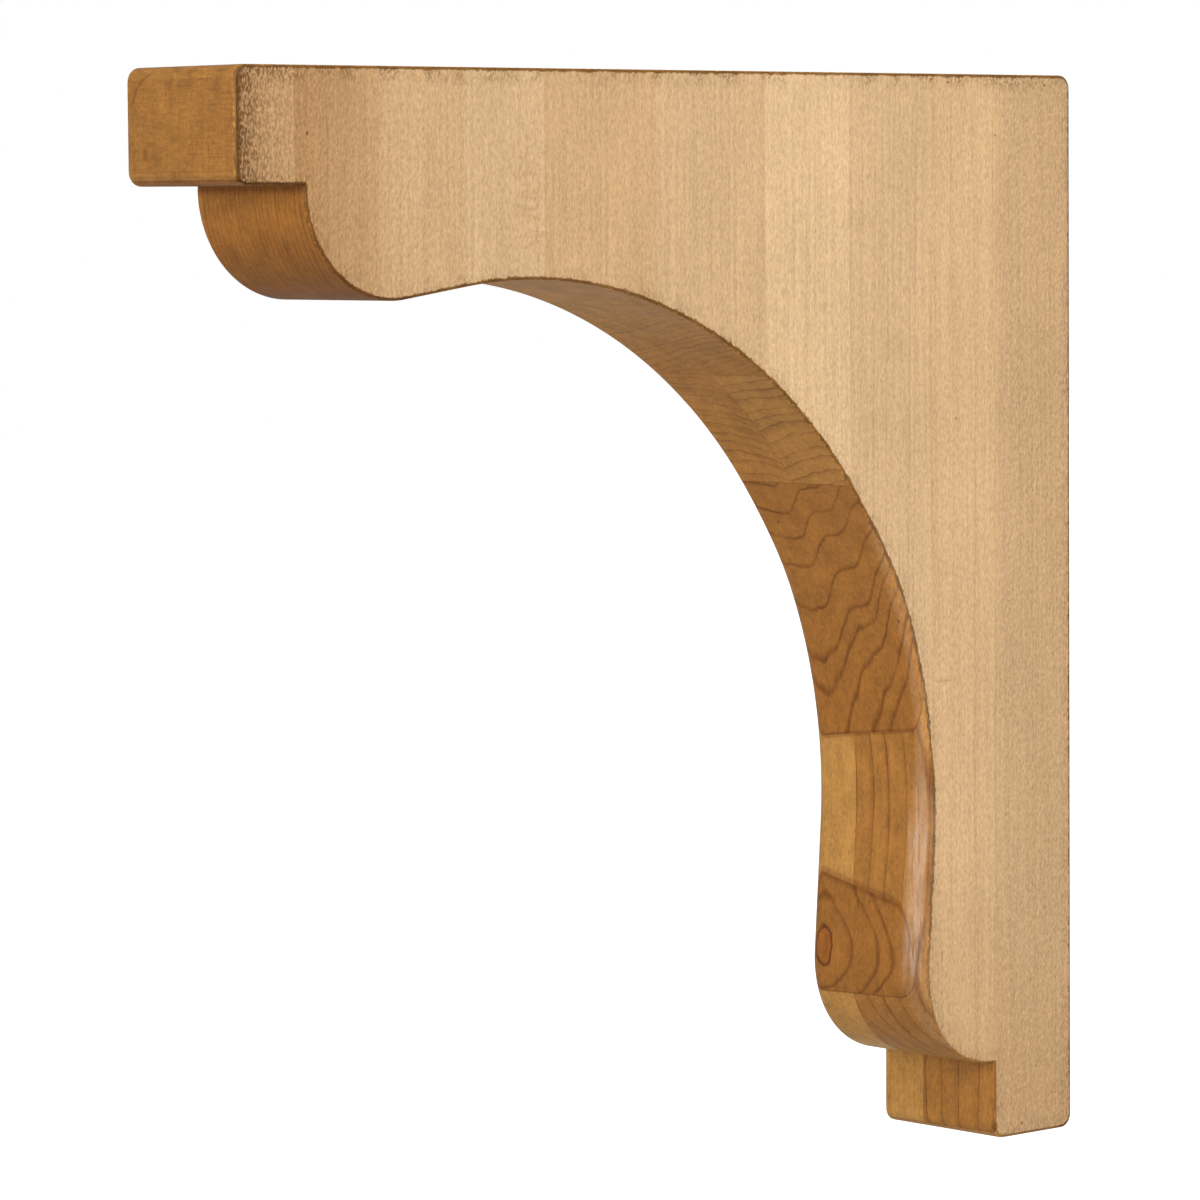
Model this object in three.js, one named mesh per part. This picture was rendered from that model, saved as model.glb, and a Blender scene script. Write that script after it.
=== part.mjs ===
// A wooden corbel bracket: one solid bracket of edge-glued maple that carries a shelf, a counter or a
// mantel on a wall. Its side face is an arm along the top and a leg down the wall. Between them the
// front is cut in one run: a square end block, a round bulge under it, a wide arch, a second bulge
// and a square foot block.
//
// Millimetres, +Z up. The back is flat on the wall in the plane y = 0 and looks along +Y, so the arm
// reaches out along -Y. The origin is the middle of the back.

import * as THREE from 'three';

// Driving sizes
const height = 304.8; // along the wall
const depth = 304.8; // from the wall to the end of the arm
const thickness = 44.45; // from side face to side face
const endBlockHeight = 30.4; // square block at the end of the arm
const footBlockDepth = 32.1; // square block at the bottom of the leg
const stepBack = 22.2; // from a block's outer face back to the bulge beside it
const runOut = 0.5; // short straight cut between a block and the round of its bulge
const bulgeRadius = 29.25; // quarter rounds below the end block and above the foot block
const armLink = 21; // straight run between the bulge under the arm and the arch
const footLink = 36.7; // straight run between the arch and the bulge over the foot
const undercut = 3; // how far the arch cuts in behind the face of the foot bulge
const edgeRadius = 1.1; // broken edges all round both side faces
const cornerSoftening = 2.7; // how much rounder the outline's corners are than its edges
const arcSag = 0.02; // largest gap between a true curve and its flat facets
const edgeFacets = 5; // flats across each broken edge

// The outline lies in the plane of the side face: its first number runs along +Y, its second along +Z.
const top = height / 2;
const bottom = -height / 2;
const armEnd = -depth;
const quarterTurn = Math.PI / 2;

// The centres of the two bulges
const armBulge = new THREE.Vector2(armEnd + stepBack + bulgeRadius, top - endBlockHeight - runOut);
const footBulge = new THREE.Vector2(-footBlockDepth - runOut, bottom + stepBack + bulgeRadius);

// Points along an arc that is drawn the given distance outside its true radius. They are close
// enough together to keep within the sag.
function arc(centre, radius, offset, fromAngle, toAngle) {
  const sweep = toAngle - fromAngle;
  const largestTurn = 2 * Math.acos(1 - Math.min(arcSag / radius, 1));
  const count = Math.max(2, Math.ceil(Math.abs(sweep) / largestTurn));
  const points = [];
  for (let i = 0; i <= count; i += 1) {
    const angle = fromAngle + (sweep * i) / count;
    const direction = new THREE.Vector2(Math.cos(angle), Math.sin(angle));
    points.push(direction.multiplyScalar(radius + offset).add(centre));
  }
  return points;
}

// The arch is tied to its neighbours by three things: the two straight links, which run from it to
// the bulges and touch each circle where they meet it, and the undercut. Think of a circle about the
// arch's centre that is larger than the arch by one bulge radius. Lines that touch it, each as long
// as its link, end on the two bulge centres, and on the side of the wall the circle passes the foot
// bulge's centre by the undercut. So the centre is found by going from the foot bulge towards the
// arm bulge and then outward, away from the wall.
function archCircle() {
  const between = armBulge.clone().sub(footBulge);
  const length = between.length();
  const towardsArm = between.normalize();
  const outward = new THREE.Vector2(-towardsArm.y, towardsArm.x);
  const fromFoot = length / 2 + (footLink ** 2 - armLink ** 2) / (2 * length);
  const toWall = -towardsArm.x * fromFoot + undercut;
  const root = Math.sqrt(toWall ** 2 - outward.y ** 2 * (fromFoot ** 2 - footLink ** 2));
  const out = (-outward.x * toWall - root) / outward.y ** 2;
  const largerRadius = toWall - outward.x * out;
  const centre = footBulge.clone().addScaledVector(towardsArm, fromFoot);
  return {
    centre: centre.addScaledVector(outward, out),
    radius: largerRadius - bulgeRadius,
    armTurn: Math.atan(armLink / largerRadius),
    footTurn: Math.atan(footLink / largerRadius),
  };
}

// The bracket's outline, drawn the given distance inside the true one, anticlockwise.
function outline(inset) {
  const arch = archCircle();
  const angleTo = (bulge) => Math.atan2(bulge.y - arch.centre.y, bulge.x - arch.centre.x);
  const archStart = angleTo(armBulge) - arch.armTurn;
  const archEnd = angleTo(footBulge) + arch.footTurn;
  const corner = edgeRadius + cornerSoftening;
  const cornerAt = (y, z, fromAngle) => {
    const middle = new THREE.Vector2(y, z);
    return arc(middle, corner, -inset, fromAngle, fromAngle + quarterTurn);
  };
  const bulgeFace = bulgeRadius - inset;
  return [
    ...cornerAt(-corner, top - corner, 0),
    ...cornerAt(armEnd + corner, top - corner, quarterTurn),
    ...cornerAt(armEnd + corner, top - endBlockHeight + corner, 2 * quarterTurn),
    new THREE.Vector2(armBulge.x - bulgeFace, top - endBlockHeight + inset),
    ...arc(armBulge, bulgeRadius, -inset, 2 * quarterTurn, archStart + Math.PI),
    ...arc(arch.centre, arch.radius, inset, archStart, archEnd),
    ...arc(footBulge, bulgeRadius, -inset, archEnd - Math.PI, -quarterTurn),
    new THREE.Vector2(-footBlockDepth + inset, footBulge.y - bulgeFace),
    ...cornerAt(-footBlockDepth + corner, bottom + corner, 2 * quarterTurn),
    ...cornerAt(-corner, bottom + corner, 3 * quarterTurn),
  ];
}

// The flat part of the side face is extruded between the two broken edges and then turned up, so
// that the outline's plane becomes the plane of the side faces and the thickness runs along X.
function bracketGeometry() {
  const flatFace = new THREE.Shape(outline(edgeRadius));
  const geometry = new THREE.ExtrudeGeometry(flatFace, {
    depth: thickness - 2 * edgeRadius,
    bevelThickness: edgeRadius,
    bevelSize: edgeRadius,
    bevelSegments: edgeFacets,
  });
  geometry.translate(0, 0, edgeRadius - thickness / 2);
  const alongX = new THREE.Vector3(1, 0, 0);
  const alongY = new THREE.Vector3(0, 1, 0);
  const alongZ = new THREE.Vector3(0, 0, 1);
  return geometry.applyMatrix4(new THREE.Matrix4().makeBasis(alongY, alongZ, alongX));
}

const honeyMaple = new THREE.MeshStandardMaterial({ color: 0xd9b384, roughness: 0.5, metalness: 0 });

const bracket = new THREE.Mesh(bracketGeometry(), honeyMaple);
bracket.name = 'corbel_bracket';

const group = new THREE.Group();
group.add(bracket);

export default group;
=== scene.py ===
# %% [markdown]
# # A wooden corbel bracket
#
# The bracket is a solid block of maple, edge-glued from upright staves and sawn to the outline of an
# arm, an arch and a leg. Its edges are broken by hand, a little more so low on the arch, and the
# whole is stained, glazed along the edges and given a satin lacquer.
#
# This lesson loads the measured model as a frame, builds the fine surface around the same sizes, and
# then spends most of its length on the wood, because the wood is what one looks at.

# %% Load the frame
import math

import bmesh
import bpy
from mathutils import Matrix, Vector, kdtree


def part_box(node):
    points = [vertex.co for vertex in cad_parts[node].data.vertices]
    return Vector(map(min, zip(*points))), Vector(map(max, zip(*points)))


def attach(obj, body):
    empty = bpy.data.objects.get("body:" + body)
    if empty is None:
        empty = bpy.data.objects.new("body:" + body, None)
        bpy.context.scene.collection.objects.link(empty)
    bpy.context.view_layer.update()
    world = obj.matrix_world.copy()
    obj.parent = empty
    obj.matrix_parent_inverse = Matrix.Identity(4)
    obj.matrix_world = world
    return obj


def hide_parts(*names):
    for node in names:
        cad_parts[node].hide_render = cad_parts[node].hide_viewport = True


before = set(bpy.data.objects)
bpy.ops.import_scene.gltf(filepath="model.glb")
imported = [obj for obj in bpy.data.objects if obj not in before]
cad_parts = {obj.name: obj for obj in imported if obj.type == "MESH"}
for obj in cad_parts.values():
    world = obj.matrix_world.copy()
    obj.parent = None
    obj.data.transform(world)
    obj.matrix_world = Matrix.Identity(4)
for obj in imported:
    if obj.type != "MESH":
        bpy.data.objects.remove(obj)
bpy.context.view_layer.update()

# %% [markdown]
# ## The sizes
#
# The outline lies in the plane of the wall's depth (Y) and height (Z). The wall is at Y = 0, so the
# arm reaches out along -Y. The overall size comes from the frame; the rest are the maker's own
# numbers: two square blocks, two quarter-round bulges and the arch that links them.

# %% The sizes, in metres
MM = 0.001
block_low, block_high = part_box("corbel_bracket")
HEIGHT = block_high.z - block_low.z
DEPTH = block_high.y - block_low.y
THICKNESS = block_high.x - block_low.x

END_BLOCK_HEIGHT = 30.4 * MM
FOOT_BLOCK_DEPTH = 32.1 * MM
STEP_BACK = 22.2 * MM
RUN_OUT = 0.5 * MM
BULGE_RADIUS = 29.25 * MM
ARM_LINK = 21 * MM
FOOT_LINK = 36.7 * MM
UNDERCUT = 3 * MM
EDGE_RADIUS = 0.7 * MM
CORNER_RADIUS = 3.8 * MM

top, bottom, arm_end = HEIGHT / 2, -HEIGHT / 2, -DEPTH
print("Height, depth and thickness in mm:", [round(n / MM, 2) for n in (HEIGHT, DEPTH, THICKNESS)])

# %% [markdown]
# ## Where the arch sits
#
# The arch touches both bulges through two short straight links. A circle about the arch's centre,
# larger by one bulge radius, is touched by lines of just those lengths that end at the two bulge
# centres, so its centre can be worked out instead of guessed.

# %% The circles of the outline
arm_bulge = Vector((arm_end + STEP_BACK + BULGE_RADIUS, top - END_BLOCK_HEIGHT - RUN_OUT))
foot_bulge = Vector((-FOOT_BLOCK_DEPTH - RUN_OUT, bottom + STEP_BACK + BULGE_RADIUS))

between = arm_bulge - foot_bulge
towards_arm = between.normalized()
outward = Vector((-towards_arm.y, towards_arm.x))
from_foot = between.length / 2 + (FOOT_LINK ** 2 - ARM_LINK ** 2) / (2 * between.length)
to_wall = -towards_arm.x * from_foot + UNDERCUT
root = math.sqrt(to_wall ** 2 - outward.y ** 2 * (from_foot ** 2 - FOOT_LINK ** 2))
out = (-outward.x * to_wall - root) / outward.y ** 2
larger_radius = to_wall - outward.x * out
arch_centre = foot_bulge + towards_arm * from_foot + outward * out
arch_radius = larger_radius - BULGE_RADIUS
print("Arch radius", round(arch_radius / MM, 1), "mm, centre", [round(n / MM, 1) for n in arch_centre])


# %% [markdown]
# ## Drawing the outline
#
# The outline is drawn the way a pen would: one vertex is carried in straight lines and spun round
# centres, and leaves its edges behind. Nothing has to be typed in as a list of points, and each
# round stretch is a true arc.

# %% The pen
ARC_STEP = 1.1 * MM
FEWEST_STEPS = 6
QUARTER = math.pi / 2


def line_to(bm, vertex, y, z):
    """Draws a straight edge from the vertex to a new place and returns its end."""
    end = bmesh.ops.extrude_vert_indiv(bm, verts=[vertex])["verts"][0]
    bmesh.ops.translate(bm, verts=[end], vec=Vector((vertex.co.x, y, z)) - vertex.co)
    return end


def arc_about(bm, vertex, centre, turn):
    """Spins the vertex round a centre by an angle in radians and returns its end."""
    middle = Vector((vertex.co.x, centre.x, centre.y))
    length = (vertex.co - middle).length * abs(turn)
    steps = max(FEWEST_STEPS, round(length / ARC_STEP))
    spun = bmesh.ops.spin(
        bm, geom=[vertex], cent=middle, axis=(1, 0, 0), angle=turn, steps=steps, use_merge=False
    )
    return next(g for g in spun["geom_last"] if isinstance(g, bmesh.types.BMVert))


def corner(bm, vertex, y, z):
    """Draws one softened outer corner, a quarter turn about the point given."""
    return arc_about(bm, vertex, Vector((y, z)), QUARTER)


def on_circle(centre, radius, angle):
    """The place at an angle on a circle; a negative radius gives the opposite side."""
    return centre.x + radius * math.cos(angle), centre.y + radius * math.sin(angle)


# %% [markdown]
# It starts at the top of the back and goes round by the end block, the bulge under it, the arch,
# the second bulge and the foot block.

# %% Draw the outline
SAME_PLACE = 0.01 * MM
arm_turn = math.atan(ARM_LINK / larger_radius)
foot_turn = math.atan(FOOT_LINK / larger_radius)
to_arm = arm_bulge - arch_centre
to_foot = foot_bulge - arch_centre
arch_start = math.atan2(to_arm.y, to_arm.x) - arm_turn
arch_end = math.atan2(to_foot.y, to_foot.x) + foot_turn

block = bmesh.new()
pen = block.verts.new((-THICKNESS / 2, 0, top - CORNER_RADIUS))
pen = corner(block, pen, -CORNER_RADIUS, top - CORNER_RADIUS)
pen = line_to(block, pen, arm_end + CORNER_RADIUS, top)
pen = corner(block, pen, arm_end + CORNER_RADIUS, top - CORNER_RADIUS)
pen = line_to(block, pen, arm_end, top - END_BLOCK_HEIGHT + CORNER_RADIUS)
pen = corner(block, pen, arm_end + CORNER_RADIUS, top - END_BLOCK_HEIGHT + CORNER_RADIUS)
pen = line_to(block, pen, arm_bulge.x - BULGE_RADIUS, top - END_BLOCK_HEIGHT)
pen = line_to(block, pen, arm_bulge.x - BULGE_RADIUS, arm_bulge.y)
pen = arc_about(block, pen, arm_bulge, arch_start)
pen = line_to(block, pen, *on_circle(arch_centre, arch_radius, arch_start))
pen = arc_about(block, pen, arch_centre, arch_end - arch_start)
pen = line_to(block, pen, *on_circle(foot_bulge, -BULGE_RADIUS, arch_end))
pen = arc_about(block, pen, foot_bulge, QUARTER - arch_end)
pen = line_to(block, pen, -FOOT_BLOCK_DEPTH, foot_bulge.y - BULGE_RADIUS)
pen = line_to(block, pen, -FOOT_BLOCK_DEPTH, bottom + CORNER_RADIUS)
pen = corner(block, pen, -FOOT_BLOCK_DEPTH + CORNER_RADIUS, bottom + CORNER_RADIUS)
pen = line_to(block, pen, -CORNER_RADIUS, bottom)
pen = corner(block, pen, -CORNER_RADIUS, bottom + CORNER_RADIUS)
pen = line_to(block, pen, 0, top - CORNER_RADIUS)
bmesh.ops.remove_doubles(block, verts=block.verts, dist=SAME_PLACE)
print("The outline has", len(block.verts), "points and", len(block.edges), "edges")

# %% [markdown]
# ## From outline to block
#
# The outline is filled and extruded to the thickness, which makes the sawn blank. Its walls are cut
# across the thickness into narrow strips, so that they can be shaped further.

# %% Extrude the outline
WALL_GRID = 1.0 * MM
filled = bmesh.ops.contextual_create(block, geom=block.edges)["faces"]
extruded = bmesh.ops.extrude_face_region(block, geom=filled)["geom"]
moved = [g for g in extruded if isinstance(g, bmesh.types.BMVert)]
bmesh.ops.translate(block, verts=moved, vec=(THICKNESS, 0, 0))
bmesh.ops.recalc_face_normals(block, faces=block.faces)
crossing = [e for e in block.edges if abs(e.verts[0].co.x - e.verts[1].co.x) > THICKNESS / 2]
bmesh.ops.subdivide_edges(
    block, edges=crossing, cuts=round(THICKNESS / WALL_GRID) - 1, use_grid_fill=True
)
print("The blank has", len(block.faces), "faces")

# %% [markdown]
# ## The worn side of the arch
#
# Low on the arch and on the foot bulge the sander was run over the edges, much harder on the side
# that faces us: the surface falls away over the last centimetre. Each wall vertex there is pushed
# into the wood, by the square of how far it is inside the worn strip.

# %% Sand the lower arch
def eased(value, start, end):
    """Goes smoothly from 0 to 1 while the value goes from start to end."""
    share = min(max((value - start) / (end - start), 0), 1)
    return share * share * (3 - 2 * share)


NEAR_WEAR, FAR_WEAR = 1.5 * MM, 0.8 * MM
NEAR_STRIP, FAR_STRIP = 5 * MM, 3 * MM
EXTRA_WEAR, EXTRA_STRIP = 1.0 * MM, 6 * MM
WEAR_STARTS, WEAR_FULL = 34 * MM, 6 * MM
EXTRA_STARTS, EXTRA_FULL = -30 * MM, -68 * MM
WEAR_EASES, WEAR_ENDS = -100 * MM, -129 * MM
FRONT_OF_LEG = -FOOT_BLOCK_DEPTH - RUN_OUT


def wear(place):
    """How deep the sander went at a place on the wall."""
    amount = eased(place.z, WEAR_STARTS, WEAR_FULL) * (1 - eased(place.z, WEAR_EASES, WEAR_ENDS))
    extra = eased(place.z, EXTRA_STARTS, EXTRA_FULL) * (1 - eased(place.z, WEAR_EASES, WEAR_ENDS))
    near_strip = NEAR_STRIP + extra * EXTRA_STRIP
    near = max(place.x - THICKNESS / 2 + near_strip, 0) / near_strip
    far = max(-place.x - THICKNESS / 2 + FAR_STRIP, 0) / FAR_STRIP
    return (NEAR_WEAR * amount + EXTRA_WEAR * extra) * near ** 2 + FAR_WEAR * amount * far ** 2


block.normal_update()
inward = {}
for vertex in block.verts:
    if vertex.co.y < FRONT_OF_LEG and wear(vertex.co) > 0:
        across_wall = Vector((0, vertex.normal.y, vertex.normal.z)).normalized()
        inward[vertex] = -across_wall * wear(vertex.co)
for vertex, move in inward.items():
    vertex.co += move
deepest = max(move.length for move in inward.values())
print("Sanded vertices:", len(inward), "deepest:", round(deepest / MM, 2), "mm")

# %% [markdown]
# ## Broken edges
#
# Sandpaper takes the sharpness off every edge round both side faces: a tiny quarter round, which is
# just wide enough to hold the dark glaze later on.

# %% Break the edges
EDGE_FACETS = 4
SIDEWAYS = 0.999
LARGE_AREA = 0.001


def side_faces(bm):
    """The large flat faces that look along X; the area is in square metres."""
    return [f for f in bm.faces if abs(f.normal.x) > SIDEWAYS and f.calc_area() > LARGE_AREA]


rim = list({e for f in side_faces(block) for e in f.edges})
bmesh.ops.bevel(
    block, geom=rim, offset=EDGE_RADIUS, offset_type="OFFSET", segments=EDGE_FACETS, profile=0.5,
    affect="EDGES", clamp_overlap=False, material=-1,
)
print("The block has", len(block.faces), "faces and", len(side_faces(block)), "flat sides")
print("Edges that two faces don't share:", sum(not e.is_manifold for e in block.edges))

# %% [markdown]
# ## Distances the finish needs
#
# The glaze on this bracket gathers along its edges, so the material has to know how far every point
# is from one. The flat sides are one large face each, which can carry no such value inside, so they
# are cut into a fine grid first. Each vertex then stores its distance from the nearest edge of the
# flat sides in millimetres, as a named attribute. Past the edge, on the broken edges and the carved
# front, the distance counts below zero. Two more numbers are stored with it: how much the surface
# looks up or down, and how much the sander took away.

# %% Cut the sides finer
SIDE_GRID = 2.5 * MM


def slice_faces(bm, faces, axis, low, high, step):
    """Cuts the faces by evenly spaced planes across one axis; the shape stays as it was."""
    normal = Vector((0, 0, 0))
    normal[axis] = 1
    parts = set(faces)
    count = round((high - low) / step)
    for i in range(1, count):
        place = normal * (low + (high - low) * i / count)
        geom = list(parts) + list({e for f in parts for e in f.edges})
        geom += list({v for f in parts for v in f.verts})
        made = bmesh.ops.bisect_plane(bm, geom=geom, plane_co=place, plane_no=normal)["geom"]
        parts = {g for g in made if isinstance(g, bmesh.types.BMFace)}
    return parts


sides = side_faces(block)
sides = slice_faces(block, sides, 1, arm_end, 0, SIDE_GRID)
sides = slice_faces(block, sides, 2, bottom, top, SIDE_GRID)
print("The block now has", len(block.faces), "faces")

# %% Store the distance from the edges
QUITE_SIDEWAYS = 0.9999


def is_flat(face):
    """True for the faces of the two flat sides."""
    return abs(face.normal.x) > QUITE_SIDEWAYS


crease = [v for v in block.verts if len({is_flat(f) for f in v.link_faces}) == 2]
near_crease = kdtree.KDTree(len(crease))
for number, vertex in enumerate(crease):
    near_crease.insert(vertex.co, number)
near_crease.balance()
from_edge = block.verts.layers.float.new("from_edge")
upward = block.verts.layers.float.new("upward")
worn = block.verts.layers.float.new("worn")
block.normal_update()
for vertex in block.verts:
    on_flat = any(is_flat(f) for f in vertex.link_faces)
    distance = near_crease.find(vertex.co)[2] / MM
    vertex[from_edge] = distance if on_flat else -distance
    vertex[upward] = abs(vertex.normal.z)
    if not on_flat and vertex.co.y < FRONT_OF_LEG:
        vertex[worn] = wear(vertex.co) / (NEAR_WEAR + EXTRA_WEAR)
print("Furthest point from an edge:", round(max(v[from_edge] for v in block.verts), 1), "mm")

# %% [markdown]
# ## The finished mesh
#
# The mesh becomes an object that rides on the frame's root and takes the place of the measured
# solid. Its normals are weighted by face area, so that smooth shading leaves the flat sides flat.

# %% Make the object
mesh = bpy.data.meshes.new("bracket_body")
block.to_mesh(mesh)
block.free()
mesh.shade_smooth()
bracket = bpy.data.objects.new("bracket_body", mesh)
bpy.context.scene.collection.objects.link(bracket)
even = bracket.modifiers.new("Flat faces keep their shading", "WEIGHTED_NORMAL")
even.keep_sharp = False
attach(bracket, "root")
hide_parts("corbel_bracket")
print("The mesh has", len(mesh.vertices), "vertices and", len(mesh.polygons), "faces")

# %% [markdown]
# ## The camera
#
# The camera was fitted to the photo, so that the corners of the outline fall where the picture has
# them. It stands to the right and in front, well back, and looks a little down.

# %% Camera, in pixels, millimetres of film, metres and degrees
IMAGE_SIZE = 1200
FOCAL_LENGTH_PX = 5421
SENSOR_WIDTH = 36
CAMERA_PLACE = (1.0941, -1.1476, 0.1170)
SWING, TILT, ROLL = 48.018, -4.191, 0.452
camera_data = bpy.data.cameras.new("camera")
camera_data.sensor_width = SENSOR_WIDTH
camera_data.lens = FOCAL_LENGTH_PX / IMAGE_SIZE * SENSOR_WIDTH
camera = bpy.data.objects.new("camera", camera_data)
camera.location = CAMERA_PLACE
swing, tilt, roll = (math.radians(angle) for angle in (SWING, TILT, ROLL))
turn = Matrix.Rotation(swing, 3, "Z") @ Matrix.Rotation(QUARTER + tilt, 3, "X")
camera.rotation_euler = (turn @ Matrix.Rotation(-roll, 3, "Z")).to_euler()
bpy.context.scene.collection.objects.link(camera)
bpy.context.scene.camera = camera
print("The camera stands", round(camera.location.length, 2), "m away")

# %% [markdown]
# ## The wood
#
# A real stave has its pattern all the way through, so the finish is worked out in space, from the
# Object coordinates in millimetres, and not painted on. Glue lines, growth rings and fibres then
# run round every edge by themselves, and a ring that grazes the curved front draws the long
# tongues and the round eye that such a cut has in real wood.
#
# A few helpers first. Each adds one node and returns its output, so that the material reads like a
# calculation.

# %% Node helpers
def add_node(tree, kind, **settings):
    """Adds a node and sets its own settings."""
    new = tree.nodes.new(kind)
    for name, value in settings.items():
        setattr(new, name, value)
    return new


def feed(tree, socket, value):
    """Links an output to a socket, or sets the socket where the value is a number or a colour."""
    if isinstance(value, bpy.types.NodeSocket):
        tree.links.new(value, socket)
    else:
        socket.default_value = value


def calc(tree, operation, *values):
    """One step of arithmetic."""
    new = add_node(tree, "ShaderNodeMath", operation=operation)
    for socket, value in zip(new.inputs, values):
        feed(tree, socket, value)
    return new.outputs[0]


def vector_calc(tree, operation, *values):
    """One step of arithmetic on vectors."""
    new = add_node(tree, "ShaderNodeVectorMath", operation=operation)
    for socket, value in zip(new.inputs, values):
        feed(tree, socket, value)
    return new.outputs["Value"] if operation in ("DISTANCE", "LENGTH") else new.outputs["Vector"]


def split(tree, vector):
    """Takes a place apart into x, y and z."""
    parts = add_node(tree, "ShaderNodeSeparateXYZ")
    feed(tree, parts.inputs[0], vector)
    return parts.outputs


def remap(tree, value, start, end, low=0.0, high=1.0, how="LINEAR"):
    """Goes in a straight line from low to high while the value goes from start to end."""
    new = add_node(tree, "ShaderNodeMapRange", interpolation_type=how)
    for socket, number in zip(new.inputs, (value, start, end, low, high)):
        feed(tree, socket, number)
    return new.outputs[0]


def fade(tree, value, start, end, low=0.0, high=1.0):
    """Does the same, but starts and ends gently."""
    return remap(tree, value, start, end, low, high, "SMOOTHSTEP")


def mix_number(tree, factor, first, second):
    """Goes from the first number to the second as the factor goes from 0 to 1."""
    return remap(tree, factor, 0.0, 1.0, first, second)


def mix_colour(tree, factor, first, second, kind="MIX"):
    """Mixes two colours; MULTIPLY darkens the first by the second."""
    new = add_node(tree, "ShaderNodeMix", data_type="RGBA", blend_type=kind)
    feed(tree, new.inputs["Factor"], factor)
    for socket, value in zip([s for s in new.inputs if s.type == "RGBA"], (first, second)):
        feed(tree, socket, value)
    return next(s for s in new.outputs if s.type == "RGBA")


def noise(tree, place, stretch, detail=2.0, roughness=0.5):
    """Soft noise from 0 to 1 whose grains measure stretch = (x, y, z) millimetres."""
    scaled = vector_calc(tree, "DIVIDE", place, stretch)
    new = add_node(tree, "ShaderNodeTexNoise")
    for name, value in {"Vector": scaled, "Scale": 1.0, "Detail": detail, "Roughness": roughness}.items():
        feed(tree, new.inputs[name], value)
    return new.outputs["Fac"]


NOISE_MIDDLE = 0.5


def swing_about(tree, value, gain):
    """Makes noise swing about zero, as far as the gain says."""
    return calc(tree, "MULTIPLY", calc(tree, "SUBTRACT", value, NOISE_MIDDLE), gain)


def grey_ramp(tree, value, stops, how="LINEAR"):
    """A ramp of numbers: stops are (place, number) pairs from 0 to 1."""
    new = add_node(tree, "ShaderNodeValToRGB")
    ramp = new.color_ramp
    ramp.interpolation = how
    while len(ramp.elements) < len(stops):
        ramp.elements.new(1.0)
    for element, (place, level) in zip(ramp.elements, stops):
        element.position = place
    for element, (place, level) in zip(ramp.elements, stops):
        colour = level if isinstance(level, tuple) else (level,) * 3
        element.color = (*colour, 1)
    feed(tree, new.inputs[0], value)
    return new.outputs["Color"]


def new_group(name, inputs, outputs):
    """Makes an empty node group; inputs and outputs are (name, socket type) pairs."""
    tree = bpy.data.node_groups.new(name, "ShaderNodeTree")
    for way, sockets in (("INPUT", inputs), ("OUTPUT", outputs)):
        for title, kind in sockets:
            tree.interface.new_socket(title, in_out=way, socket_type=kind)
    return tree, tree.nodes.new("NodeGroupInput").outputs, tree.nodes.new("NodeGroupOutput").inputs


def place_group(tree, group, **values):
    """Places a group in a material and feeds its inputs."""
    new = add_node(tree, "ShaderNodeGroup", node_tree=group)
    for name, value in values.items():
        feed(tree, new.inputs[name], value)
    return new.outputs


NUMBER, VECTOR = "NodeSocketFloat", "NodeSocketVector"

# %% [markdown]
# ## The staves
#
# Ten staves stand side by side from the wall to the end of the arm. Each was cut from another
# place in the tree, so each has its own shade, its own ring direction and its own ring spacing.
# The table says, for each stave, how far its outer face is from the wall and how its rings run:
# `lean` and `pull` tell how fast one crosses rings when moving sideways or outwards, `bend` and
# `middle` give a ring its curve, `gap` is the distance from ring to ring and `line` is how dark a
# ring shows. Two of the staves were glued up from two thinner boards, which meet at `seam`.
# `side` is the shade of a stave's flat side, `far` and `near` are the shades of its boards' front.

# %% The staves, sizes in millimetres
HALF = THICKNESS / MM / 2


def one_board(face, side, front, rings):
    """A stave cut from one board, which reaches to the near side face."""
    return dict(face=face, seam=HALF, side=side, far=front, near=front, rings=(rings, rings))


def two_boards(face, seam, side, far, near, far_rings, near_rings):
    """A stave glued up from a far and a near board, which meet at the seam."""
    return dict(face=face, seam=seam, side=side, far=far, near=near, rings=(far_rings, near_rings))


STAVES = [
    # face, then seam where there is one, side, front or far and near, then the rings, which are
    # (lean, pull, bend, middle, gap, line)
    one_board(30.4, 1.03, 1.04, (0.3, 1, 0, 0, 2.6, 0.3)),
    two_boards(59.6, -6.5, 0.97, 1.18, 0.92, (1, 0.1, 0, 0, 9.0, 0.15), (1, 0.8, 0, 0, 6.8, 0.95)),
    one_board(89.0, 1.045, 0.86, (-0.115, 1, -0.225, -12.9, 4.2, 0.9)),
    two_boards(
        121.3, -0.4, 1.03, 0.98, 1.06, (0.165, 1, 0.165, -7, 2.4, 0.85), (-0.14, 1, 0, 0, 3.1, 0.85)
    ),
    one_board(161.4, 1.03, 0.93, (-0.25, 1, 0, 0, 2.1, 0.65)),
    one_board(201.5, 0.965, 0.92, (1, 0.15, 0, 0, 4.0, 0.15)),
    one_board(229.3, 1.04, 0.90, (0.1, 1, 0, 0, 1.8, 0.2)),
    one_board(257.9, 0.98, 0.90, (0.2, 1, 0, 0, 2.2, 0.2)),
    one_board(285.7, 0.93, 0.98, (1, -0.3, 0, 0, 1.9, 1.0)),
    one_board(304.8, 1.09, 1.12, (0.5, 0.2, 0, 0, 5.0, 0.1)),
]
REACH = DEPTH / MM
print(len(STAVES), "staves from", STAVES[0]["face"], "to", STAVES[-1]["face"], "mm")

# %% [markdown]
# ## Which stave is this?
#
# The first node group answers that for any point: it counts how many stave faces lie between the
# point and the wall. The count then picks the stave's own values from ramps with square steps.
# Towards the foot the boards lie a little out of true and are twisted, so their faces shift there.

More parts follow.
